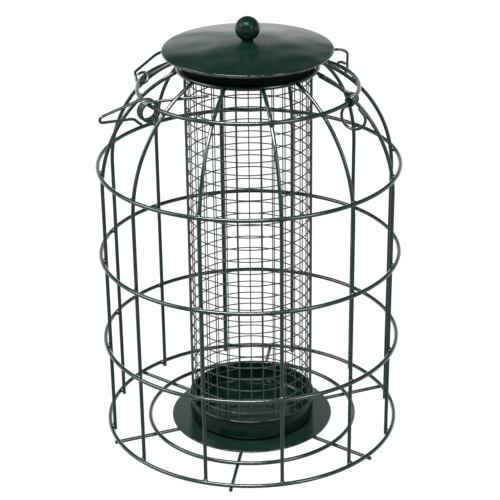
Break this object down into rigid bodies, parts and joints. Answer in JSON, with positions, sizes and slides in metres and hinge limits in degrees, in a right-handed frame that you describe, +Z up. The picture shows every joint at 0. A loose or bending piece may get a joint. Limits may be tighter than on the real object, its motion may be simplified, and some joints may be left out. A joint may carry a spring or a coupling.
{
  "type": "squirrel proof bird feeder",
  "caption": "Round mesh nut tube in a domed wire cage, with a lift-off lid, a wire carrying handle and two spring wire clips.",
  "frame": {"origin": "middle of the foot, on the surface that the feeder stands on", "axes": "+Z up through the tube to the ball knob, -Y to the front that the picture shows, +X to the picture's right"},
  "size_m": [0.1938, 0.1938, 0.2779],
  "materials": {
    "green_wire": "gloss dark green coating on steel wire",
    "green_mesh": "dark green coating on welded steel mesh",
    "green_sheet": "gloss dark green paint on pressed sheet",
    "green_ball": "gloss dark green paint",
    "zinc_fixing": "fixings painted with the sheet they hold"
  },
  "bodies": {
    "cage": {"base_hoop": "green_wire", "base_inner_hoop": "green_wire", "lower_hoop": "green_wire", "middle_hoop": "green_wire", "shoulder_hoop": "green_wire", "dome_hoop": "green_wire", "top_hoop": "green_wire", "rib_01": "green_wire", "rib_02": "green_wire", "rib_03": "green_wire", "rib_04": "green_wire", "rib_05": "green_wire", "rib_06": "green_wire", "rib_07": "green_wire", "rib_08": "green_wire", "rib_09": "green_wire", "rib_10": "green_wire", "rib_11": "green_wire", "rib_12": "green_wire", "base_spokes": "green_wire", "tray": "green_sheet", "seed_cup": "green_sheet", "cup_rivets": "zinc_fixing", "mesh_uprights": "green_mesh", "mesh_hoops": "green_mesh", "tube_band": "green_sheet"},
    "lid": {"lid_cap": "green_sheet", "lid_skirt": "green_sheet", "ball_knob": "green_ball", "knob_washer": "zinc_fixing", "knob_screw": "zinc_fixing"},
    "bail": {"bail_handle": "green_wire"},
    "clip_left": {"left_clip": "green_wire"},
    "clip_right": {"right_clip": "green_wire"}
  },
  "joints": [
    {"name": "lid_lift", "type": "slide", "parent": "cage", "child": "lid", "axis": [0, 0, 1], "range_m": [0, 0.07]},
    {"name": "bail_swing", "type": "hinge", "parent": "cage", "child": "bail", "pos_m": [-0.0032, 0.02518, 0.23358], "axis": [0.992, 0.1262, 0], "range_deg": [0, 80]},
    {"name": "left_clip_swing", "type": "hinge", "parent": "cage", "child": "clip_left", "pos_m": [-0.05991, -0.03321, 0.22998], "axis": [-0.4848, 0.8746, 0], "range_deg": [-2, 90]},
    {"name": "right_clip_swing", "type": "hinge", "parent": "cage", "child": "clip_right", "pos_m": [0.06228, -0.02851, 0.23358], "axis": [-0.4163, -0.9092, 0], "range_deg": [-60, 75]}
  ]
}
